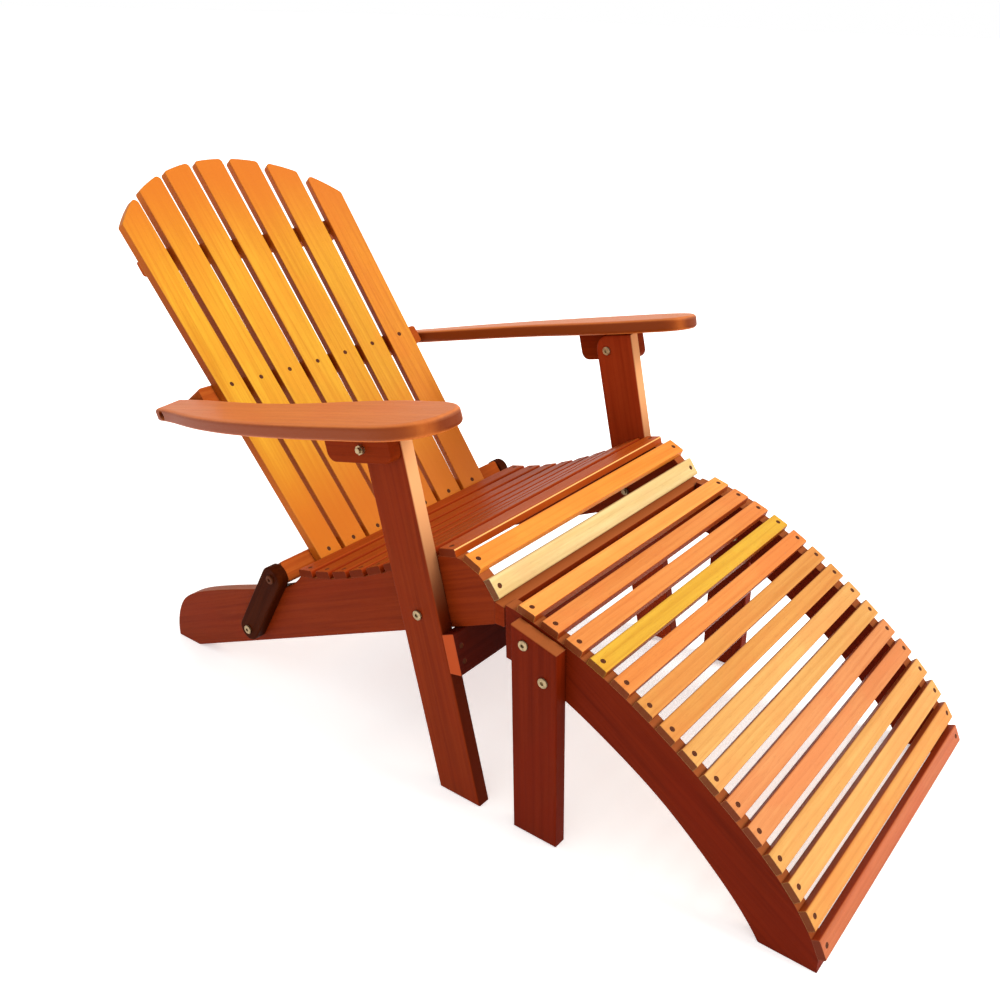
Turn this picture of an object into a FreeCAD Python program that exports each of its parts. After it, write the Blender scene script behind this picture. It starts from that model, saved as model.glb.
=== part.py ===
"""Folding adirondack chair with its matching ottoman, one STEP per sub-part.

Millimetres, +Z up. The sitter faces -Y, X runs across the chair, and the floor is Z = 0.
Side profiles are drawn in the YZ plane and given their thickness along X. "right" is the
sitter's right hand, at -X.
"""
import os
import FreeCAD
import Part
from math import asin, cos, degrees, hypot, pi, radians, sin, sqrt
from FreeCAD import Vector

# ---- driving dimensions -------------------------------------------------------------------
HALF_SEAT = 260.0          # outer face of the side rails, and the ends of all seat slats
BOARD = 22.0               # thickness of rails, legs and other boards
RUN_GAP = 0.3              # air between two pieces that move apart
BORE_GAP = 0.05            # radial clearance of a bolt or a screw in its hole
EDGE = 2.5                 # rounding on the long edges of the boards
EDGE_SMALL = 1.5           # rounding of the slats' edges

# pivots, as (y, z)
P_LEG = (-55.0, 291.0)     # front leg on side rail
P_ARM = (9.0, 530.0)       # arm bracket on top of the front leg
P_LINK = (345.0, 113.0)    # link on side rail
P_BACK = (269.7, 233.6)    # lower back rail on the links
P_REAR = (468.0, 465.5)    # arm's rear end on the middle back rail

# side rail: a straight underside, and a top edge that dips, crests and falls at the front
RAIL_HEEL_Y = 587.0
RAIL_TOE_Y = 527.0
RAIL_FRONT_Y = -176.0
RAIL_SLOPE = 0.441
RAIL_NOSE_Z = 346.0
SEAT_CURVE = [(-176, 346), (-150, 377), (-118, 390), (-82, 383), (-20, 348), (60, 304), (140, 270), (221, 247)]
TAIL_CURVE = [(221, 247), (262, 213), (300, 197), (345, 180), (400, 160), (460, 137), (520, 110), (554, 86),
              (573, 58), (584, 27), (587, 0)]

# slats of the seat and of the ottoman
SLAT_T = 12.0
SEAT_SLATS = 11
SEAT_SLAT_W = 30.5
OTTOMAN_SLATS = 15
OTTOMAN_SLAT_W = 29.0

# board across the rails' front ends, and brace between the rails
APRON_T = 17.0
APRON_Z = (312.0, 345.5)
BRACE_W = 55.0
BRACE_Y = 300.0

# front legs: parallel edges that lean back going up
LEG_FRONT_Y = -157.0       # where the front edge meets the floor
LEG_REAR_Y = -80.0         # where the rear edge meets the floor
LEG_LEAN = 0.21
LEG_TOP_ROUND = 26.0
STOP_H = 60.0              # stop bar on the legs' front edges, under the rails
STOP_T = 22.0

# arms: plan outline as (distance out from the middle, distance along the arm)
ARM_T = 22.0
ARM_PITCH = 12.68          # degrees, front end high
ARM_ROLL = 4.5             # degrees, outer edge low
ARM_UNDER_Z = 560.9        # underside above the legs, at Y = 0
ARM_PLAN = [(292, 495), (301, 445), (315, 388), (327, 326), (336, 260), (342, 180), (345, 77), (345, -21),
            (341, -82), (325, -124), (298, -146), (272, -146), (254, -127), (247, -85), (244, -38), (245, 13),
            (251, 87), (258, 160), (260, 220), (257, 300), (250, 380), (245, 440), (245, 495)]
ARM_ROUND = 6.0
BOLT_POCKET_X = 284.0      # bottom of the pocket for the rear bolt's head
BRACKET_S = (-36.0, 88.0)
BRACKET_H = 48.0
BRACKET_T = 20.0
BRACKET_ROUND = 14.0

# back: seven slats on three rails, laid out in their own plane, dished, and then reclined
BACK_RECLINE = 36.97       # degrees from upright
BACK_ORIGIN = (350.4, 360.1)
BACK_DISH_R = 1115.0       # the slats' front faces touch an upright cylinder of this radius
BACK_T = 15.0
BACK_FOOT = -157.0         # height in the plane of the slats' lower ends
BACK_MIDDLE = 190.0
BACK_CROWN = 554.7
BACK_ARCH_R = 293.0
PITCH_AT_0 = 60.2          # slat spacing at height 0 in the plane
PITCH_PER_MM = 0.0128      # growth of the spacing with height
WIDTH_AT_0 = 51.3
WIDTH_PER_MM = 0.005
TOP_ROUND = 7.0
# rails of the back: height in the plane, half length, width
BACK_RAILS = {"upper": (395.8, 200.0, 28.0), "middle": (153.0, 240.0, 33.0), "lower": (-149.0, 259.9, 33.0)}
SCREW_ROWS = {"upper": None, "middle": 158.8, "lower": -147.1}

# links
LINK_R = 20.0
LINK_T = 20.0

# ottoman side: arched top, curved underside, foot flat on the floor
OTTOMAN_TOP = [(-195, 347), (-228, 341), (-340, 304), (-444, 248), (-542, 180), (-603, 130), (-650, 78),
               (-676, 36), (-682, 0)]
OTTOMAN_UNDER = [(-600, 0), (-572, 37), (-525, 84), (-447, 149), (-352, 207), (-270, 246), (-195, 264)]
OTTOMAN_LEG_Y = (-296.0, -221.0)
OTTOMAN_LEG_TOP = 339.0
OTTOMAN_LEG_SLOPE = 0.27
OTTOMAN_BRACE = (-226.0, 269.0)   # lower front edge of the brace at the chair end
OTTOMAN_BOLTS = [(-243.0, 315.0), (-275.0, 270.0)]

# hardware
BOLT_R = 4.0
BOLT_HEAD_R = 7.5
BOLT_HEAD_T = 3.0
BOLT_KEY_R = 3.2
NUT_R = 7.0
NUT_T = 5.0
SCREW_R = 1.9
SCREW_HEAD_R = 3.8
SCREW_HEAD_T = 2.4
SCREW_SINK = 0.4
SCREW_LEN = 32.0

PARTS = {}
SIDES = {"right": -1, "left": 1}
X_AXIS = Vector(1, 0, 0)


# ---- helpers ------------------------------------------------------------------------------
def keep(name, shape):
    """Store one named sub-part."""
    PARTS[name] = shape.removeSplitter() if shape.ShapeType != "Compound" else shape


def side_point(point, x=0.0):
    """A (y, z) pair as a vector in the plane at x."""
    return Vector(x, point[0], point[1])


def spline(points):
    """Smooth curve in the YZ plane through (y, z) pairs."""
    curve = Part.BSplineCurve()
    curve.interpolate([side_point(p) for p in points])
    return curve


def line(a, b):
    return Part.LineSegment(side_point(a), side_point(b)).toShape()


def polygon(points):
    """Closed YZ outline as a list of straight edges."""
    return [line(a, b) for a, b in zip(points, points[1:] + points[:1])]


def plate(edges, x_low, x_high):
    """Board with a YZ outline, between two values of X."""
    wire = Part.Wire(Part.__sortEdges__(edges))
    wire.translate(Vector(x_low, 0, 0))
    return Part.Face(wire).extrude(Vector(x_high - x_low, 0, 0))


def span(side, inner, outer):
    """X limits of a board on one side, from its inner and outer distance to the middle."""
    return sorted((side * inner, side * outer))


def round_edges(shape, radius, chosen):
    """Fillet the chosen edges; a set that cannot be rounded together is left square."""
    edges = [edge for edge in shape.Edges if chosen(edge)]
    try:
        rounded = shape.makeFillet(radius, edges)
    except Exception:
        return shape
    whole = rounded.isValid() and len(rounded.Solids) == len(shape.Solids) and rounded.Volume > 0.9 * shape.Volume
    return rounded if whole else shape


def on_faces(edge, axis, levels, tolerance=0.01):
    """True when an edge lies wholly in one of the planes axis = level."""
    low = getattr(edge.BoundBox, axis + "Min")
    high = getattr(edge.BoundBox, axis + "Max")
    return any(abs(low - level) < tolerance and abs(high - level) < tolerance for level in levels)


def round_board(shape, x_low, x_high, radius=EDGE):
    """Round the outline of a board on both of its faces."""
    return round_edges(shape, radius, lambda edge: on_faces(edge, "X", (x_low, x_high)))


def cylinder(point, axis, radius, length):
    return Part.makeCylinder(radius, length, point, axis)


def bore(shape, point, x_low, x_high):
    """Bolt hole along X."""
    return shape.cut(cylinder(side_point(point, x_low - 1), X_AXIS, BOLT_R + BORE_GAP, x_high - x_low + 2))


def hexagon(point, axis, radius, length):
    """Hexagonal bar, for nuts and key sockets."""
    corners = [Vector(radius * cos(k * pi / 3), radius * sin(k * pi / 3), 0) for k in range(7)]
    bar = Part.Face(Part.makePolygon(corners)).extrude(Vector(0, 0, length))
    bar.Placement = FreeCAD.Placement(point, FreeCAD.Rotation(Vector(0, 0, 1), axis))
    return bar


def bolt(point, side, head_x, end_x, nut_x=None):
    """Socket-head bolt along X, with the head's seat at head_x and the shank's end at end_x."""
    outward = 1 if head_x > end_x else -1
    seat = side_point(point, side * head_x)
    head_axis = Vector(side * outward, 0, 0)
    head = cylinder(seat, head_axis, BOLT_HEAD_R, BOLT_HEAD_T)
    head = round_edges(head, 1.2, lambda edge: on_faces(edge, "X", [seat.x + head_axis.x * BOLT_HEAD_T]))
    body = head.fuse(cylinder(seat, -head_axis, BOLT_R, abs(head_x - end_x)))
    body = body.cut(hexagon(seat + head_axis * (BOLT_HEAD_T - 2.2), head_axis, BOLT_KEY_R, 4))
    if nut_x is not None:
        body = body.fuse(hexagon(side_point(point, side * nut_x), -head_axis, NUT_R, NUT_T))
    return body.removeSplitter()


def screw_shape(point, axis, length, grow=0.0):
    """Countersunk screw: point is on the wood's surface and axis points into the wood."""
    top = point + axis * (SCREW_SINK if grow == 0.0 else -0.2)
    head_t = SCREW_HEAD_T + point.distanceToPoint(top) * (1 if grow else 0)
    cone_from = point + axis * SCREW_SINK
    cone = Part.makeCone(SCREW_HEAD_R + grow, SCREW_R + grow, head_t, cone_from, axis)
    shank = cylinder(cone_from, axis, SCREW_R + grow, length - SCREW_SINK + grow)
    body = cone.fuse(shank)
    if grow:
        return body.fuse(cylinder(top, axis, SCREW_HEAD_R + grow, cone_from.distanceToPoint(top)))
    slot = Part.makeBox(0.9, 0.9, 0.9, Vector(-0.45, -0.45, 0))
    slot.Placement = FreeCAD.Placement(cone_from, FreeCAD.Rotation(Vector(0, 0, 1), axis))
    return body.cut(slot)


class Screws:
    """Screws of one group, with the holes that they need."""

    def __init__(self):
        self.solids = []
        self.holes = []

    def add(self, point, axis, length=SCREW_LEN):
        self.solids.append(screw_shape(point, axis, length))
        self.holes.append(screw_shape(point, axis, length, BORE_GAP))

    def drill(self, shape):
        """Cut the holes of the screws that reach this piece."""
        near = [hole for hole in self.holes if hole.BoundBox.intersect(shape.BoundBox)]
        return shape.cut(near) if near else shape


def slat_board(start, end, width, half_length, thickness):
    """Slat across the chair: its underside runs from start to end in the side view."""
    run = Vector(0, end[0] - start[0], end[1] - start[1]).normalize()
    up = Vector(0, -run.z, run.y)
    if up.z < 0:
        up = -up
    middle = (side_point(start) + side_point(end)) * 0.5
    corners = [middle - run * (width / 2), middle + run * (width / 2)]
    corners += [corners[1] + up * thickness, corners[0] + up * thickness]
    wire = Part.makePolygon(corners + corners[:1])
    wire.translate(Vector(-half_length, 0, 0))
    board = Part.Face(wire).extrude(Vector(2 * half_length, 0, 0))
    board = round_edges(board, EDGE, lambda edge: edge_through(edge, corners[2:]))
    return board, middle + up * thickness, -up


def edge_through(edge, points):
    """True for an edge along X that passes a side-view point."""
    box = edge.BoundBox
    if box.XLength < 10:
        return False
    return any(hypot(box.YMin - p.y, box.ZMin - p.z) < 0.05 for p in points)


def deck_line(first, places, last):
    """Top edge of a side board: one facet under each slat, from first to last."""
    corners = [point for place in places for point in place]
    inner = [p for p in corners if min(hypot(p[0] - end[0], p[1] - end[1]) for end in (first, last)) > 0.1]
    points = [first] + inner + [last]
    return [line(a, b) for a, b in zip(points, points[1:])]


def round_long(shape, x_low, x_high):
    """Round the two long curves of a side board: its tail or arch, and its underside."""
    return round_edges(shape, EDGE_SMALL, lambda edge: edge.Length > 300 and on_faces(edge, "X", (x_low, x_high)))


def slats_on(curve_points, count, width):
    """Evenly spaced slats along a side curve, as (underside start, underside end) pairs."""
    curve = spline(curve_points)
    gap = (curve.length() - count * width) / (count - 1)
    places = []
    for k in range(count):
        begin = k * (width + gap)
        low = curve.value(curve.parameterAtDistance(begin + 0.001, curve.FirstParameter))
        high = curve.value(curve.parameterAtDistance(begin + width - 0.001, curve.FirstParameter))
        places.append(((low.y, low.z), (high.y, high.z)))
    return places


# ---- seat frame ---------------------------------------------------------------------------
def rail_under(y):
    """Height of the side rails' underside."""
    return RAIL_SLOPE * (RAIL_TOE_Y - y)


def make_seat():
    screws = Screws()
    boards = []
    places = slats_on(SEAT_CURVE, SEAT_SLATS, SEAT_SLAT_W)
    for start, end in places[::-1]:
        board, top, down = slat_board(start, end, SEAT_SLAT_W, HALF_SEAT, SLAT_T)
        boards.append(board)
        for side in SIDES.values():
            screws.add(top + Vector(side * (HALF_SEAT - BOARD / 2), 0, 0), down)
    apron = make_apron()
    for side in SIDES.values():
        for z in (APRON_Z[0] + 8.0, APRON_Z[1] - 9.0):
            point = Vector(side * (HALF_SEAT - BOARD / 2), RAIL_FRONT_Y - APRON_T, z)
            screws.add(point, Vector(0, 1, 0), 38.0)
    for number, board in enumerate(boards, 1):
        keep("seat_slat_%02d" % number, screws.drill(board))
    keep("seat_apron", screws.drill(apron))
    brace = make_brace()
    for name, side in SIDES.items():
        keep("side_rail_" + name, screws.drill(make_side_rail(side, places)))
    keep("seat_brace", brace)
    keep("seat_screws", Part.makeCompound(screws.solids))


def make_side_rail(side, places):
    low, high = span(side, HALF_SEAT - BOARD, HALF_SEAT)
    nose = (RAIL_FRONT_Y, rail_under(RAIL_FRONT_Y))
    outline = deck_line(SEAT_CURVE[0], places, SEAT_CURVE[-1]) + [spline(TAIL_CURVE).toShape()]
    outline += [line((RAIL_HEEL_Y, 0), (RAIL_TOE_Y, 0)), line((RAIL_TOE_Y, 0), nose)]
    outline += [line(nose, (RAIL_FRONT_Y, RAIL_NOSE_Z))]
    rail = round_long(plate(outline, low, high), low, high)
    rail = bore(rail, P_LEG, low, high)
    return bore(rail, P_LINK, low, high)


def make_apron():
    front = RAIL_FRONT_Y - APRON_T
    outline = [(RAIL_FRONT_Y, APRON_Z[0]), (front, APRON_Z[0]), (front, APRON_Z[1] - 3.5)]
    outline += [(RAIL_FRONT_Y, APRON_Z[1])]
    board = plate(polygon(outline), -HALF_SEAT, HALF_SEAT)
    return round_edges(board, EDGE_SMALL, lambda edge: on_faces(edge, "Y", [front]) and edge.BoundBox.XLength > 10)


def make_brace():
    """Board on edge between the side rails, behind the seat and under the back."""
    z = rail_under(BRACE_Y) + BOARD
    half = HALF_SEAT - BOARD
    board = Part.makeBox(2 * half, BOARD, BRACE_W, Vector(-half, BRACE_Y - BOARD / 2, z))
    return round_edges(board, EDGE_SMALL, lambda edge: edge.BoundBox.XLength > 10)


# ---- front legs ---------------------------------------------------------------------------
def leg_edge(foot_y, z):
    return (foot_y + LEG_LEAN * z, z)


def under_arm(y, drop=0.0):
    """Height of the arms' underside."""
    return ARM_UNDER_Z - drop - y * sin(radians(ARM_PITCH)) / cos(radians(ARM_PITCH))


def leg_top(foot_y, drop):
    """Where a leg edge meets the plane just under the arm."""
    z = under_arm(0.0, drop)
    slope = sin(radians(ARM_PITCH)) / cos(radians(ARM_PITCH))
    z = (z - slope * foot_y) / (1 + slope * LEG_LEAN)
    return leg_edge(foot_y, z)


def make_legs():
    inner = HALF_SEAT + RUN_GAP
    outer = inner + BOARD
    screws = Screws()
    bar = make_stop_bar(outer, screws)
    for name, side in SIDES.items():
        low, high = span(side, inner, outer)
        outline = [(LEG_FRONT_Y, 0), (LEG_REAR_Y, 0), leg_top(LEG_REAR_Y, 2.2), leg_top(LEG_FRONT_Y, 2.2)]
        leg = plate(polygon(outline), low, high)
        corner = leg_top(LEG_REAR_Y, 2.2)
        leg = round_edges(leg, LEG_TOP_ROUND, lambda edge: on_faces(edge, "Y", [corner[0]]))
        leg = round_board(leg, low, high)
        leg = bore(leg, P_LEG, low, high)
        leg = bore(leg, P_ARM, low, high)
        keep("front_leg_" + name, screws.drill(leg))
    keep("stop_bar", screws.drill(bar))
    keep("stop_bar_screws", Part.makeCompound(screws.solids))


def make_stop_bar(half_length, screws):
    """Bar on the legs' front edges; its bevelled top lies under the side rails."""
    norm = hypot(1.0, LEG_LEAN)
    up = Vector(0, LEG_LEAN / norm, 1 / norm)
    ahead = Vector(0, -1 / norm, LEG_LEAN / norm)
    z_back = (RAIL_SLOPE * (RAIL_TOE_Y - LEG_FRONT_Y) / (1 + RAIL_SLOPE * LEG_LEAN)) - 1.2
    back_top = side_point(leg_edge(LEG_FRONT_Y, z_back))
    rise = (up.z + RAIL_SLOPE * up.y)
    front_top = back_top + ahead * STOP_T
    spare = rail_under(front_top.y) - 1.2 - front_top.z
    front_top = front_top + up * (spare / rise)
    corners = [back_top, back_top - up * STOP_H, back_top - up * STOP_H + ahead * STOP_T, front_top]
    bar = plate(polygon([(c.y, c.z) for c in corners]), -half_length, half_length)
    bar = round_edges(bar, EDGE_SMALL, lambda edge: edge.BoundBox.XLength > 10 and
                      not edge_through(edge, corners[:2]))
    for side in SIDES.values():
        for drop in (18.0, 42.0):
            point = back_top - up * drop + ahead * STOP_T
            screws.add(point + Vector(side * (half_length - BOARD / 2), 0, 0), -ahead, 50.0)
    return bar


# ---- arms ---------------------------------------------------------------------------------
def reclined(shape, pitch, origin):
    """Turn a shape about X by -pitch degrees and move its origin to a (y, z) point."""
    shape.rotate(Vector(0, 0, 0), X_AXIS, -pitch)
    shape.translate(side_point(origin))
    return shape


def arm_outline(side):
    """Plan outline of one arm in its own plane: a smooth paddle with a straight cut at the rear."""
    points = [Vector(side * x, s, 0) for x, s in ARM_PLAN]
    paddle = Part.BSplineCurve()
    paddle.interpolate(points)
    rear = Part.LineSegment(points[-1], points[0])
    return Part.Wire([paddle.toShape(), rear.toShape()])


def rolled(shape, side):
    """Tip a shape of the arm's own frame outwards, about a line above the leg's middle."""
    pivot = Vector(side * (HALF_SEAT + RUN_GAP + BOARD / 2), 0, 0)
    shape.rotate(pivot, Vector(0, 1, 0), side * ARM_ROLL)
    return shape


def make_arms():
    bracket_in = HALF_SEAT + 2 * RUN_GAP + BOARD
    brackets = []
    for name, side in SIDES.items():
        arm = Part.Face(arm_outline(side)).extrude(Vector(0, 0, ARM_T))
        arm = round_edges(arm, ARM_ROUND, lambda edge: on_faces(edge, "Z", (0.0, ARM_T)))
        arm = reclined(rolled(arm, side), ARM_PITCH, (0, ARM_UNDER_Z))
        low, high = span(side, 230, BOLT_POCKET_X + 5)
        arm = bore(arm, P_REAR, low, high)
        pocket = cylinder(side_point(P_REAR, side * BOLT_POCKET_X), Vector(side, 0, 0), BOLT_HEAD_R + 0.5, 60)
        keep("arm_" + name, arm.cut(pocket))
        low, high = span(side, bracket_in, bracket_in + BRACKET_T)
        brackets.append(make_bracket(side, low, high))
    keep("arm_brackets", Part.makeCompound(brackets))


def make_bracket(side, low, high):
    """Block under an arm, outboard of the leg, its top cut to the arm's tipped underside."""
    top = 8.0
    block = Part.makeBox(high - low, BRACKET_S[1] - BRACKET_S[0], BRACKET_H + top,
                         Vector(low, BRACKET_S[0], -BRACKET_H))
    block = round_edges(block, BRACKET_ROUND, lambda edge: on_faces(edge, "Z", [-BRACKET_H])
                        and edge.BoundBox.XLength > 10)
    block = round_board(block, low, high, EDGE_SMALL)
    above = rolled(Part.makeBox(800, 400, 60, Vector(-400, -200, 0)), side)
    block = reclined(block.cut(above), ARM_PITCH, (0, ARM_UNDER_Z))
    return bore(block, P_ARM, low, high)


# ---- back ---------------------------------------------------------------------------------
def slat_middle(index, height):
    return index * (PITCH_AT_0 + PITCH_PER_MM * height)


def slat_half(height):
    return (WIDTH_AT_0 + WIDTH_PER_MM * height) / 2


def dish(index):
    """Where a slat's front face touches the dished surface, and its turn in degrees."""
    middle = slat_middle(index, BACK_MIDDLE)
    turn = asin(middle / BACK_DISH_R)
    return Vector(middle, BACK_DISH_R * (cos(turn) - 1), 0), degrees(turn)


def dished(shape, index):
    """Move a shape from the flat layout onto the dished surface."""
    touch, turn = dish(index)
    shape.translate(Vector(0, touch.y, 0))
    shape.rotate(touch, Vector(0, 0, 1), -turn)
    return shape


def dished_point(index, x, depth):
    """(x, y) on the dished back of a point of the flat layout."""
    touch, turn = dish(index)
    across = x - touch.x
    slope = radians(turn)
    return (touch.x + across * cos(slope) + depth * sin(slope), touch.y - across * sin(slope) + depth * cos(slope))


def arch_height(x):
    return BACK_CROWN - BACK_ARCH_R + sqrt(BACK_ARCH_R ** 2 - x ** 2)


def slat_edge(index, side):
    """Foot and top corner of one long edge, in the flat layout."""
    def at(height):
        return slat_middle(index, height) + side * slat_half(height)
    height = BACK_CROWN
    for _ in range(8):
        height = arch_height(at(height))
    return Vector(at(BACK_FOOT), 0, BACK_FOOT), Vector(at(height), 0, height)


def make_back_slat(index):
    foot_a, top_a = slat_edge(index, -1)
    foot_b, top_b = slat_edge(index, 1)
    middle = (top_a.x + top_b.x) / 2
    arc = Part.Arc(top_a, Vector(middle, 0, arch_height(middle)), top_b).toShape()
    edges = [Part.LineSegment(foot_a, top_a).toShape(), arc, Part.LineSegment(top_b, foot_b).toShape(),
             Part.LineSegment(foot_b, foot_a).toShape()]
    board = Part.Face(Part.Wire(Part.__sortEdges__(edges))).extrude(Vector(0, BACK_T, 0))
    tops = (top_a, top_b)
    board = round_edges(board, TOP_ROUND, lambda edge: any(
        abs(edge.BoundBox.XMin - p.x) + abs(edge.BoundBox.ZMin - p.z) < 0.05 and edge.BoundBox.YLength > 5
        for p in tops))
    board = round_edges(board, EDGE_SMALL, lambda edge: on_faces(edge, "Y", (0.0, BACK_T)))
    return dished(board, index)


def rail_plan(height, half):
    """Plan outline of a back rail: a facet behind each slat, flat ends, and a straight rear face."""
    front = []
    for index in range(-3, 4):
        middle = slat_middle(index, height)
        reach = slat_half(height) + 1.5
        front += [dished_point(index, middle - reach, BACK_T), dished_point(index, middle + reach, BACK_T)]
    end = max(half, front[-1][0] + 1)
    rear = BACK_T + BOARD
    return [(-end, front[0][1])] + front + [(end, front[-1][1]), (end, rear), (-end, rear)]


def make_back_rail(height, half, wide):
    outline = [Vector(x, y, height - wide / 2) for x, y in rail_plan(height, half)]
    rail = Part.Face(Part.makePolygon(outline + outline[:1])).extrude(Vector(0, 0, wide))
    trim = Part.makeBox(2 * half, 200, wide, Vector(-half, -100, height - wide / 2))
    rail = rail.common(trim).removeSplitter()
    rail = round_edges(rail, 5.0, lambda edge: edge.BoundBox.YLength > BOARD - 1)
    return round_edges(rail, EDGE_SMALL, lambda edge: edge.BoundBox.XLength > 20 and
                       on_faces(edge, "Y", [BACK_T + BOARD]))


def back_screws():
    """One countersunk screw per slat and row, square to the slat."""
    screws = Screws()
    for index in range(-3, 4):
        turn = radians(dish(index)[1])
        for height in SCREW_ROWS.values():
            if height is not None:
                x, y = dished_point(index, slat_middle(index, height), 0)
                screws.add(Vector(x, y, height), Vector(sin(turn), cos(turn), 0), SCREW_LEN)
    return screws


def make_back():
    screws = back_screws()
    for number, index in enumerate(range(-3, 4), 1):
        board = screws.drill(make_back_slat(index))
        keep("back_slat_%d" % number, reclined(board, BACK_RECLINE, BACK_ORIGIN))
    for name, (height, half, wide) in BACK_RAILS.items():
        rail = reclined(screws.drill(make_back_rail(height, half, wide)), BACK_RECLINE, BACK_ORIGIN)
        if name == "lower":
            for side in SIDES.values():
                low, high = span(side, half - 42, half)
                rail = rail.cut(cylinder(side_point(P_BACK, low), X_AXIS, BOLT_R + BORE_GAP, 42))
        keep("back_rail_" + name, rail)
    solids = [reclined(screw, BACK_RECLINE, BACK_ORIGIN) for screw in screws.solids]
    keep("back_screws", Part.makeCompound(solids))


def make_links():
    inner = HALF_SEAT + RUN_GAP
    top = side_point(P_BACK)
    foot = side_point(P_LINK)
    run = (top - foot).normalize()
    out = Vector(0, -run.z, run.y) * LINK_R
    corners = [foot + out, top + out, top - out, foot - out]
    links = []
    for side in SIDES.values():
        low, high = span(side, inner, inner + LINK_T)
        edges = [Part.LineSegment(corners[0], corners[1]).toShape(),
                 Part.Arc(corners[1], top + run * LINK_R, corners[2]).toShape(),
                 Part.LineSegment(corners[2], corners[3]).toShape(),
                 Part.Arc(corners[3], foot - run * LINK_R, corners[0]).toShape()]
        link = round_board(plate(edges, low, high), low, high)
        link = bore(link, P_LINK, low, high)
        links.append(bore(link, P_BACK, low, high))
    keep("fold_links", Part.makeCompound(links))


# ---- ottoman ------------------------------------------------------------------------------
def make_ottoman():
    screws = Screws()
    boards = []
    places = slats_on(ottoman_deck(), OTTOMAN_SLATS, OTTOMAN_SLAT_W)
    for start, end in places:
        board, top, down = slat_board(start, end, OTTOMAN_SLAT_W, HALF_SEAT, SLAT_T)
        boards.append(board)
        for side in SIDES.values():
            screws.add(top + Vector(side * (HALF_SEAT - BOARD / 2), 0, 0), down)
    for number, board in enumerate(boards, 1):
        keep("ottoman_slat_%02d" % number, screws.drill(board))
    legs = []
    for name, side in SIDES.items():
        low, high = span(side, HALF_SEAT - BOARD, HALF_SEAT)
        outline = deck_line(OTTOMAN_TOP[0], places, OTTOMAN_TOP[-1]) + [spline(OTTOMAN_UNDER).toShape()]
        outline += [line(OTTOMAN_TOP[-1], OTTOMAN_UNDER[0]), line(OTTOMAN_UNDER[-1], OTTOMAN_TOP[0])]
        rail = round_long(plate(outline, low, high), low, high)
        for point in OTTOMAN_BOLTS:
            rail = bore(rail, point, low, high)
        keep("ottoman_side_" + name, screws.drill(rail))
        legs.append(make_ottoman_leg(side))
    keep("ottoman_legs", Part.makeCompound(legs))
    keep("ottoman_screws", Part.makeCompound(screws.solids))
    half = HALF_SEAT - BOARD
    brace = Part.makeBox(2 * half, BOARD, BRACE_W, Vector(-half, *OTTOMAN_BRACE))
    keep("ottoman_brace", round_edges(brace, EDGE_SMALL, lambda edge: edge.BoundBox.XLength > 10))


def ottoman_deck():
    """The part of the ottoman's top edge that carries slats."""
    return [(-214, 344.5)] + OTTOMAN_TOP[1:-2] + [(-681, 22)]


def make_ottoman_leg(side):
    low, high = span(side, HALF_SEAT, HALF_SEAT + BOARD)
    ahead, behind = OTTOMAN_LEG_Y
    drop = OTTOMAN_LEG_SLOPE * (behind - ahead)
    outline = [(ahead, 0), (behind, 0), (behind, OTTOMAN_LEG_TOP), (ahead, OTTOMAN_LEG_TOP - drop)]
    leg = round_board(plate(polygon(outline), low, high), low, high)
    for point in OTTOMAN_BOLTS:
        leg = bore(leg, point, low, high)
    return leg


# ---- bolts --------------------------------------------------------------------------------
def make_bolts():
    rail_in = HALF_SEAT - BOARD
    leg_in = HALF_SEAT + RUN_GAP
    leg_out = leg_in + BOARD
    link_out = leg_in + LINK_T
    bracket_out = leg_out + RUN_GAP + BRACKET_T
    frame, arms, links, ottoman = [], [], [], []
    for side in SIDES.values():
        frame.append(bolt(P_LEG, side, leg_out + RUN_GAP, rail_in - 8, rail_in))
        frame.append(bolt(P_LINK, side, link_out + RUN_GAP, rail_in - 8, rail_in))
        arms.append(bolt(P_ARM, side, leg_in - RUN_GAP, bracket_out + 8, bracket_out))
        arms.append(bolt(P_REAR, side, BOLT_POCKET_X, BACK_RAILS["middle"][1] + RUN_GAP))
        links.append(bolt(P_BACK, side, link_out, HALF_SEAT - 38))
        for point in OTTOMAN_BOLTS:
            ottoman.append(bolt(point, side, HALF_SEAT + BOARD, rail_in - 8, rail_in))
    keep("frame_pivot_bolts", Part.makeCompound(frame))
    keep("arm_bolts", Part.makeCompound(arms))
    keep("link_bolts", Part.makeCompound(links))
    keep("ottoman_bolts", Part.makeCompound(ottoman))


def main():
    make_seat()
    make_legs()
    make_arms()
    make_back()
    make_links()
    make_ottoman()
    make_bolts()
    os.makedirs("parts", exist_ok=True)
    for name, shape in PARTS.items():
        shape.exportStep("parts/" + name + ".step")
    whole = Part.makeCompound(list(PARTS.values())).BoundBox
    print(len(PARTS), "sub-parts")
    print("Y %.1f to %.1f, X %.1f to %.1f, Z %.1f to %.1f" % (
        whole.YMin, whole.YMax, whole.XMin, whole.XMax, whole.ZMin, whole.ZMax))


main()
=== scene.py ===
"""Looks, light and camera for the folding adirondack chair and its ottoman."""
from math import cos, radians, sin
import bpy
from mathutils import Matrix, Vector


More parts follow.
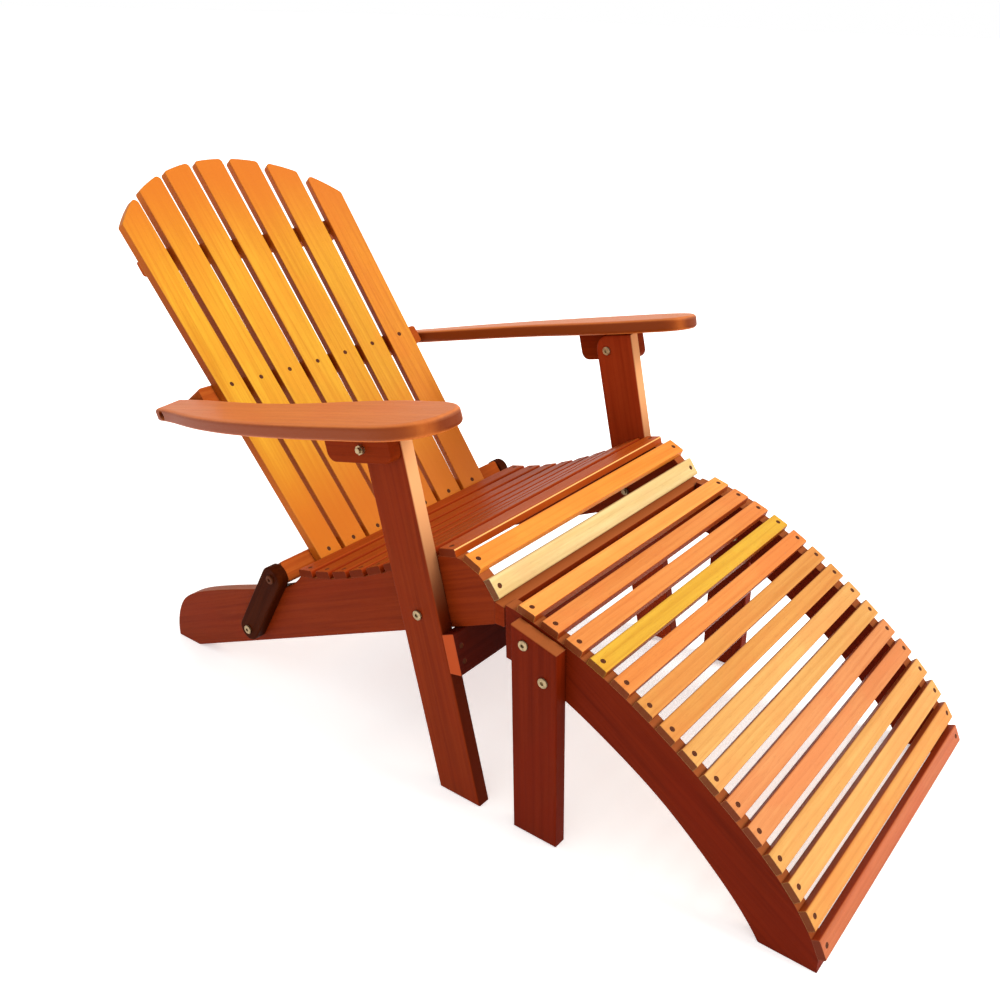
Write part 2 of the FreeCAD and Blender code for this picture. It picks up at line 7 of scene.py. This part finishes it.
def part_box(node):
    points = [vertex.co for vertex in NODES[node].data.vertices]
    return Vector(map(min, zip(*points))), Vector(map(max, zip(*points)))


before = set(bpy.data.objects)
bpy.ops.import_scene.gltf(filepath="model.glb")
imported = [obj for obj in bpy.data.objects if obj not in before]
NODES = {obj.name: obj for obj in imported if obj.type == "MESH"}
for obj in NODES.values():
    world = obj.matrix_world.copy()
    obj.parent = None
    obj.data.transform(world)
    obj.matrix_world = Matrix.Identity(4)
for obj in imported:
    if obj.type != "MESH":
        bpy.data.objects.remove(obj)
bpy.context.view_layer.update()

# ---- camera ---------------------------------------------------------------------------------
CAMERA_AT = Vector((-1.151, -0.9525, 1.0546))
CAMERA_HEADING = radians(56.517)     # from +Y towards +X
CAMERA_DOWN = radians(25.594)        # below the horizontal
CAMERA_ROLL = radians(1.924)
SENSOR_MM = 36.0
LENS_MM = 37.0
LENS_SHIFT = (-0.1153, 0.0051)       # in picture widths
CLIP_NEAR, CLIP_FAR = 0.02, 300.0


def add_camera():
    ahead = Vector((sin(CAMERA_HEADING) * cos(CAMERA_DOWN), cos(CAMERA_HEADING) * cos(CAMERA_DOWN),
                    -sin(CAMERA_DOWN)))
    level = Vector((cos(CAMERA_HEADING), -sin(CAMERA_HEADING), 0))
    above = level.cross(ahead)
    right = level * cos(CAMERA_ROLL) + above * sin(CAMERA_ROLL)
    up = above * cos(CAMERA_ROLL) - level * sin(CAMERA_ROLL)
    data = bpy.data.cameras.new("camera")
    data.sensor_width = SENSOR_MM
    data.lens = LENS_MM
    data.shift_x, data.shift_y = LENS_SHIFT
    data.clip_start = CLIP_NEAR
    data.clip_end = CLIP_FAR
    camera = bpy.data.objects.new("camera", data)
    camera.matrix_world = Matrix.Translation(CAMERA_AT) @ Matrix((right, up, -ahead)).transposed().to_4x4()
    bpy.context.scene.collection.objects.link(camera)
    bpy.context.scene.camera = camera


# ---- node helpers ---------------------------------------------------------------------------
class Graph:
    """A material's node tree, built one node at a time."""

    def __init__(self, name):
        self.material = bpy.data.materials.new(name)
        self.material.use_nodes = True
        self.tree = self.material.node_tree
        self.shader = self.tree.nodes["Principled BSDF"]

    def add(self, kind, settings=None, **inputs):
        """Add a node; inputs are values or other nodes' outputs, by socket name or _number."""
        made = self.tree.nodes.new("ShaderNode" + kind)
        for key, value in (settings or {}).items():
            setattr(made, key, value)
        for key, value in inputs.items():
            socket = made.inputs[int(key[1:])] if key[0] == "_" else made.inputs[key.replace("_", " ")]
            self.put(socket, value)
        return made

    def put(self, socket, value):
        if isinstance(value, bpy.types.NodeSocket):
            self.tree.links.new(value, socket)
        else:
            socket.default_value = value

    def math(self, operation, a, b=0.0):
        return self.add("Math", {"operation": operation}, _0=a, _1=b).outputs[0]

    def dot(self, a, b):
        return self.add("VectorMath", {"operation": "DOT_PRODUCT"}, _0=a, _1=b).outputs["Value"]

    def ramp(self, value, low, high):
        """0 at low and 1 at high, clamped."""
        node = self.add("MapRange", {"interpolation_type": "SMOOTHSTEP"}, Value=value, From_Min=low, From_Max=high)
        return node.outputs[0]

    def mix(self, factor, a, b):
        """Colour a where the factor is 0 and b where it is 1."""
        node = self.add("Mix", {"data_type": "RGBA"})
        self.put(node.inputs["Factor"], factor)
        self.put(node.inputs[6], a)
        self.put(node.inputs[7], b)
        return node.outputs[2]

    def tint(self, body, mask, share, colour):
        """Body colour with a share of another one where the mask is 1."""
        return self.mix(self.math("MULTIPLY", mask, share), body, colour)

    def noise(self, vector, scale, detail=2.0, rough=0.5, twist=0.0):
        """Noise of a stretched copy of a vector; scale is cycles per metre along, across and through."""
        stretched = self.add("Mapping", Vector=vector, Scale=scale).outputs[0]
        return self.add("TexNoise", Vector=stretched, Scale=1.0, Detail=detail, Roughness=rough,
                        Distortion=twist).outputs[0]


def tone(red, green, blue):
    """sRGB 0-255 to the linear colour a socket takes."""
    return tuple((c / 255) ** 2.2 for c in (red, green, blue)) + (1.0,)


def scaled(colour, red, green, blue):
    """A colour with each channel multiplied."""
    return tuple(min(c * k, 1.0) for c, k in zip(colour, (red, green, blue))) + (1.0,)


# ---- wood -----------------------------------------------------------------------------------
# each wood: pale and deep tone of the figure
WOODS = {
    "gold": (tone(199, 144, 40), tone(182, 121, 30)),
    "amber": (tone(194, 135, 34), tone(178, 116, 25)),
    "orange": (tone(192, 119, 30), tone(175, 100, 22)),
    "yellow": (tone(196, 150, 50), tone(182, 132, 40)),
    "cream": (tone(230, 148, 72), tone(214, 130, 58)),
    "honey": (tone(191, 132, 68), tone(177, 114, 54)),
    "coral": (tone(200, 124, 64), tone(186, 107, 50)),
    "apricot": (tone(192, 125, 76), tone(178, 108, 62)),
    "buff": (tone(196, 145, 82), tone(182, 127, 66)),
    "rust": (tone(168, 92, 56), tone(150, 76, 44)),
    "straw": (tone(204, 180, 126), tone(190, 158, 100)),
    "bright": (tone(218, 134, 54), tone(202, 116, 42)),
    "tan": (tone(162, 74, 22), tone(146, 60, 16)),
    # a darker wood for the rear seat slats, as painted shade
    "shaded_russet": (tone(152, 68, 26), tone(134, 56, 20)),
    "teak": (tone(192, 104, 44), tone(172, 86, 33)),
    "chestnut": (tone(158, 78, 32), tone(142, 64, 25)),
    "cherry": (tone(144, 54, 25), tone(126, 44, 19)),
    "red": (tone(120, 45, 18), tone(102, 35, 13)),
    "mahogany": (tone(104, 33, 13), tone(88, 26, 9)),
    "maroon": (tone(80, 25, 13), tone(66, 18, 9)),
    "umber": (tone(62, 26, 9), tone(48, 18, 6)),
}
# the wood of each slat: the back's from the chair's right, the seat's from the rear, the ottoman's from the chair
BACK_WOODS = ("gold",) * 4 + ("amber", "amber", "orange")
# the rear seat slats take the darker wood as painted shade
SEAT_WOODS = ("shaded_russet",) * 8 + ("tan", "bright", "straw")
OTTOMAN_WOODS = ("cream", "coral", "coral", "yellow", "coral", "honey", "honey", "buff", "buff", "apricot",
                 "apricot", "buff", "buff", "honey", "rust")

# grain directions
ALONG_X = Vector((1, 0, 0))
ALONG_Y = Vector((0, 1, 0))
ALONG_Z = Vector((0, 0, 1))
RECLINE = radians(36.97)
ARM_RISE = radians(12.68)
BACK_ALONG = Vector((0, sin(RECLINE), cos(RECLINE)))
ARM_ALONG = Vector((0, -cos(ARM_RISE), sin(ARM_RISE)))
LEG_ALONG = Vector((0, 0.21, 1)).normalized()
RAIL_ALONG = Vector((0, -0.915, 0.404))
OTTOMAN_SIDE_ALONG = Vector((0, 0.83, 0.56))
LINK_ALONG = Vector((0, -0.53, 0.85))

# noise in a board: cycles per metre along, across and through it, detail, roughness and distortion
DRIFT = ((2.2, 16, 16), 2.0)
BLOTCH = ((7, 11, 11), 3.0, 0.55, 0.6)
FIGURE = ((3.4, 95, 60), 4.0, 0.62, 0.5)
FIBRE = ((26, 1500, 1100), 3.0, 0.6)
PORES = ((70, 2300, 2300), 1.0)
RING_STRETCH = (0.10, 1.0, 0.55)
RING_KIND = {"wave_type": "BANDS", "bands_direction": "Y", "wave_profile": "SAW"}
RING_WAVE = {"Scale": 26.0, "Distortion": 5.5, "Detail": 2.0, "Detail_Scale": 0.6, "Detail_Roughness": 0.5}

# cosines at which a face starts to count, and fully counts, as an end, a sawn edge or an arris
END_FACING = (0.55, 0.95)
EDGE_FACING = (0.60, 0.98)
ARRIS_FACING = (0.99, 0.86)
ARRIS_RADIUS = 0.0022                # metres

# heights at which the back's painted shade starts, and is darkest and reddest, towards its top and towards its
# foot
SHADE_ABOVE = (0.60, 0.79)
SHADE_BELOW = (0.47, 0.27)
SHADE_TONE = tone(180, 94, 27)

# a board's look; the looks below say where they differ from it
BOARD = {
    "stain_and_shade": 0.85, "edge": tone(126, 40, 11),    # sawn edges are darker: they hold more stain, and partly painted shade
    "ends": 0.9, "end": tone(88, 30, 10),        # ends are open grain
    "painted_light": 0.0, "painted_light_tone": tone(180, 108, 60),   # faces turned towards the light are painted paler, painted light
    "lit_from": (0, -0.3, 0.95), "catch": (0.35, 1.0),
    "fade": None,                                # heights between which the painted light sets in
    # painted shade: share of a darker, redder tone at the back's top and foot
    "painted_shade": 0.0,
    "wear_and_highlight": 0.3,                                 # arrises are paler: rubbed by wear, and partly a painted highlight
    "gloss": 0.08,
}
OTTOMAN_SLAT = {}
# the back slats take painted shade at their top and foot
BACK_SLAT = {"painted_shade": 0.9}
REAR_SLAT = {"gloss": 0.03}
FRONT_SLAT = {"stain_and_shade": 0.15}
# the crest slat's front edge takes a painted highlight
CREST_SLAT = {"stain_and_shade": 0.15, "painted_light": 0.9, "painted_light_tone": tone(230, 176, 104), "lit_from": (0, -0.72, 0.69),
              "catch": (0.88, 0.98)}
# frame boards: faces turned up to the light are painted paler, painted light
FRAME_BOARD = {"stain_and_shade": 0.0, "ends": 0.0, "painted_light": 0.45, "gloss": 0.02}
# front legs: a painted sheen, paler on faces turned to the front and up, from mid height upwards
FRONT_LEG = {"edge": tone(76, 26, 11), "ends": 0.0, "painted_light": 0.9, "painted_light_tone": tone(222, 158, 106),
             "lit_from": (0, -0.75, 0.65), "fade": (0.29, 0.50), "gloss": 0.02}
PLAIN_BOARD = {"stain_and_shade": 0.0, "ends": 0.0, "gloss": 0.01}
STOP_BAR = {"stain_and_shade": 0.0, "end": tone(170, 72, 36), "gloss": 0.03}
# arms: faces turned up to the light are painted paler, painted light
ARM = {"stain_and_shade": 1.0, "edge": tone(122, 54, 18), "painted_light": 0.3, "painted_light_tone": tone(196, 124, 84), "wear_and_highlight": 0.15,
       "gloss": 0.1}
SEAT_LOOKS = (REAR_SLAT,) * 8 + (CREST_SLAT, FRONT_SLAT, FRONT_SLAT)


def wood(name, kind, along, wide, number, changes):
    """Oiled hardwood: along is the grain's direction, wide the direction across the board's broad face."""
    look = {**BOARD, **changes}
    g = Graph(name)
    face = along.cross(wide).normalized()
    across = face.cross(along)
    place = g.add("TexCoord")
    cut_from = (0.37 * number, 0.113 * number + 0.02, 0.071 * number)     # its own place in the log
    board = g.add("Mapping", Vector=place.outputs["Object"], Rotation=Matrix((along, across, face)).to_euler(),
                  Location=cut_from).outputs[0]

    bend = g.add("Mapping", Vector=board, Scale=RING_STRETCH).outputs[0]
    rings = g.add("TexWave", RING_KIND, Vector=bend, **RING_WAVE).outputs["Fac"]
    fibre = g.noise(board, *FIBRE)
    pores = g.ramp(g.noise(board, *PORES), 0.62, 0.72)
    normal = place.outputs["Normal"]
    open_grain = g.ramp(g.math("ABSOLUTE", g.dot(normal, along)), *END_FACING)
    sawn = g.ramp(g.math("ABSOLUTE", g.dot(normal, across)), *EDGE_FACING)
    eased = g.add("Bevel", {"samples": 4}, Radius=ARRIS_RADIUS).outputs[0]

    body = grain_colour(g, WOODS[kind], board, rings, fibre, pores)
    # sawn edges darkened: more stain, and partly painted shade between the slats
    body = g.tint(body, sawn, look["stain_and_shade"], look["edge"])
    body = g.tint(body, open_grain, look["ends"], look["end"])
    # painted light, painted shade and pale arrises
    body = painted_light_and_wear(g, body, place, eased, look, WOODS[kind][0])
    g.put(g.shader.inputs["Base Color"], body)

    # fibres, pores and ends are rougher than the oiled face, and show as relief
    rough = g.math("ADD", g.math("MULTIPLY", fibre, 0.22), 0.34)
    rough = g.math("ADD", rough, g.math("MULTIPLY", g.math("ADD", open_grain, pores), 0.14))
    g.put(g.shader.inputs["Roughness"], rough)
    relief = g.math("SUBTRACT", g.math("MULTIPLY", fibre, 0.8), pores)
    relief = g.math("ADD", relief, g.math("MULTIPLY", rings, 0.5))
    bump = g.add("Bump", Height=relief, Normal=eased, Strength=0.22, Distance=0.0004)
    g.put(g.shader.inputs["Normal"], bump.outputs[0])
    g.shader.inputs["Specular IOR Level"].default_value = look["gloss"]
    return g.material


def grain_colour(g, tones, board, rings, fibre, pores):
    """Streaks of two tones under slow drift, flushed clouds, growth rings, fibres and open pores."""
    pale, deep = tones
    lighter = scaled(pale, 1.06, 1.14, 1.20)
    flushed = scaled(pale, 0.97, 0.76, 0.74)
    darker = scaled(deep, 0.80, 0.66, 0.60)
    body = g.mix(g.ramp(g.noise(board, *FIGURE), 0.30, 0.70), deep, pale)
    for pattern, low, high, share, colour in (
            (g.noise(board, *DRIFT), 0.32, 0.72, 0.45, lighter),
            (g.noise(board, *BLOTCH), 0.42, 0.64, 0.50, flushed),
            (rings, 0.55, 1.00, 0.24, darker),
            (fibre, 0.50, 0.72, 0.18, darker)):
        body = g.tint(body, g.ramp(pattern, low, high), share, colour)
    return g.tint(body, pores, 0.30, scaled(deep, 0.45, 0.45, 0.45))


def painted_light_and_wear(g, body, place, eased, look, pale):
    """Paint light on faces turned to the light, paint shade on the back's top and foot, pale the arrises (wear and
    painted highlight).
    """
    height = g.add("SeparateXYZ", Vector=place.outputs["Object"]).outputs["Z"]
    # painted light: faces turned towards the light are painted paler
    lit_faces = g.ramp(g.dot(place.outputs["Normal"], look["lit_from"]), *look["catch"])
    if look["fade"]:
        lit_faces = g.math("MULTIPLY", lit_faces, g.ramp(height, *look["fade"]))
    body = g.tint(body, lit_faces, look["painted_light"], look["painted_light_tone"])
    # painted shade: the back is painted darker and redder towards its top and foot
    if look["painted_shade"]:
        shaded_heights = g.math("ADD", g.ramp(height, *SHADE_ABOVE), g.ramp(height, *SHADE_BELOW))
        body = g.tint(body, shaded_heights, look["painted_shade"], SHADE_TONE)
    # arrises paler: wear, and partly a painted edge highlight
    arris = g.ramp(g.dot(eased, g.add("NewGeometry").outputs["Normal"]), *ARRIS_FACING)
    rubbed_and_lit = tuple(min(c * 1.5 + 0.03, 0.8) for c in pale[:3]) + (1.0,)
    return g.tint(body, arris, look["wear_and_highlight"], rubbed_and_lit)


def finish(node, material):
    """Give a CAD node one material."""
    piece = NODES[node]
    piece.data.materials.clear()
    piece.data.materials.append(material)


def slat_centre(group, number):
    low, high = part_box("%s_slat_%02d" % (group, number))
    middle = (low + high) / 2
    return Vector((0, middle.y, middle.z))


def slat_lie(group, number, count):
    """Direction across a slat's broad face, taken from its neighbours' places."""
    before = slat_centre(group, max(number - 1, 1))
    after = slat_centre(group, min(number + 1, count))
    return (after - before).normalized()


def list_boards():
    """Each wooden node with its wood, grain direction, direction across the broad face and look."""
    boards = []
    for number, kind in enumerate(BACK_WOODS, 1):
        boards.append(("back_slat_%d" % number, kind, BACK_ALONG, ALONG_X, BACK_SLAT))
    for number, (kind, look) in enumerate(zip(SEAT_WOODS, SEAT_LOOKS), 1):
        lie = slat_lie("seat", number, len(SEAT_WOODS))
        boards.append(("seat_slat_%02d" % number, kind, ALONG_X, lie, look))
    for number, kind in enumerate(OTTOMAN_WOODS, 1):
        lie = slat_lie("ottoman", number, len(OTTOMAN_WOODS))
        boards.append(("ottoman_slat_%02d" % number, kind, ALONG_X, lie, OTTOMAN_SLAT))
    for side, leg_kind in (("right", "red"), ("left", "cherry")):
        boards.append(("front_leg_" + side, leg_kind, LEG_ALONG, ALONG_Y, FRONT_LEG))
        boards.append(("side_rail_" + side, "red", RAIL_ALONG, ALONG_Z, FRAME_BOARD))
        boards.append(("ottoman_side_" + side, "mahogany", OTTOMAN_SIDE_ALONG, ALONG_Z, FRAME_BOARD))
        boards.append(("arm_" + side, "teak", ARM_ALONG, ALONG_X, ARM))
    boards.append(("ottoman_legs", "mahogany", ALONG_Z, ALONG_Y, FRAME_BOARD))
    boards.append(("fold_links", "umber", LINK_ALONG, ALONG_Y, PLAIN_BOARD))
    boards.append(("arm_brackets", "red", ARM_ALONG, ALONG_Z, PLAIN_BOARD))
    boards.append(("stop_bar", "maroon", ALONG_X, ALONG_Z, STOP_BAR))
    for node in ("seat_apron", "seat_brace", "ottoman_brace"):
        boards.append((node, "red", ALONG_X, ALONG_Z, FRAME_BOARD))
    for level in ("upper", "middle", "lower"):
        boards.append(("back_rail_" + level, "chestnut", ALONG_X, BACK_ALONG, PLAIN_BOARD))
    return boards


def paint_wood():
    for number, (node, kind, along, wide, look) in enumerate(list_boards()):
        finish(node, wood("wood_" + node, kind, along, wide, number, look))


# ---- metal ----------------------------------------------------------------------------------
DARK_SPOT = tone(96, 62, 38)
PLATED = ("frame_pivot_bolts", "arm_bolts", "ottoman_bolts")
DULL = ("link_bolts", "seat_screws", "stop_bar_screws", "back_screws", "ottoman_screws")


def metal(name, colour, rough, scale, shine):
    """Plated steel dulled by weather: mottled colour, fine turning marks, dark spots."""
    g = Graph(name)
    place = g.add("TexCoord").outputs["Object"]
    mottle = g.noise(place, (scale,) * 3, 3.0, 0.6)
    fine = g.noise(place, (scale * 9,) * 3)
    spots = g.ramp(g.noise(place, (scale * 3,) * 3), 0.58, 0.70)
    body = g.mix(g.ramp(mottle, 0.35, 0.65), scaled(colour, 0.62, 0.62, 0.62), colour)
    g.put(g.shader.inputs["Base Color"], g.tint(body, spots, 0.5, DARK_SPOT))
    g.put(g.shader.inputs["Roughness"], g.math("ADD", g.math("MULTIPLY", mottle, 0.25), rough))
    g.put(g.shader.inputs["Metallic"], g.math("SUBTRACT", shine, g.math("MULTIPLY", spots, 0.4)))
    g.put(g.shader.inputs["Normal"], g.add("Bump", Height=fine, Strength=0.25, Distance=0.0002).outputs[0])
    g.shader.inputs["Specular IOR Level"].default_value = 0.15
    return g.material


def paint_metal():
    plated = metal("plated_steel", tone(172, 150, 116), rough=0.32, scale=260, shine=0.95)
    dull = metal("dull_screws", tone(88, 44, 20), rough=0.6, scale=420, shine=0.1)
    for node in PLATED:
        finish(node, plated)
    for node in DULL:
        finish(node, dull)


# ---- floor and light ------------------------------------------------------------------------
FLOOR_REACH = 90.0
FLOOR_DROP = 0.0008                  # just under the feet
FLOOR_GLOW = 0.45                    # keeps the shadows light
WHITE = (1.0, 1.0, 1.0, 1.0)
SUN_TOWARDS = Vector((-0.25, 0.72, -0.68))
SUN_STRENGTH = 2.75
SUN_ANGLE = radians(24)              # a wide disk, for soft shadows
SUN_COLOUR = (1.0, 0.97, 0.92)


def add_floor():
    mesh = bpy.data.meshes.new("floor")
    corners = [(-FLOOR_REACH, -FLOOR_REACH, 0), (FLOOR_REACH, -FLOOR_REACH, 0),
               (FLOOR_REACH, FLOOR_REACH, 0), (-FLOOR_REACH, FLOOR_REACH, 0)]
    mesh.from_pydata(corners, [], [(0, 1, 2, 3)])
    floor = bpy.data.objects.new("floor", mesh)
    bpy.context.scene.collection.objects.link(floor)
    floor.location.z = -FLOOR_DROP
    g = Graph("pale_floor")
    place = g.add("TexCoord").outputs["Object"]
    cloud = g.noise(place, (0.8, 0.8, 0.8), 3.0)
    g.put(g.shader.inputs["Base Color"], g.mix(cloud, tone(238, 237, 235), tone(243, 242, 240)))
    g.shader.inputs["Roughness"].default_value = 0.75
    g.shader.inputs["Specular IOR Level"].default_value = 0.2
    g.shader.inputs["Emission Color"].default_value = WHITE
    g.shader.inputs["Emission Strength"].default_value = FLOOR_GLOW
    mesh.materials.append(g.material)


def add_light():
    scene = bpy.context.scene
    scene.view_settings.view_transform = "Standard"
    world = bpy.data.worlds.new("studio")
    world.use_nodes = True
    sky = world.node_tree.nodes["Background"]
    sky.inputs["Color"].default_value = WHITE
    sky.inputs["Strength"].default_value = 1.0
    scene.world = world
    data = bpy.data.lights.new("key", "SUN")
    data.energy = SUN_STRENGTH
    data.angle = SUN_ANGLE
    data.color = SUN_COLOUR
    lamp = bpy.data.objects.new("key", data)
    lamp.rotation_mode = "QUATERNION"
    lamp.rotation_quaternion = SUN_TOWARDS.to_track_quat("-Z", "Y")
    scene.collection.objects.link(lamp)


add_camera()
paint_wood()
paint_metal()
add_floor()
add_light()
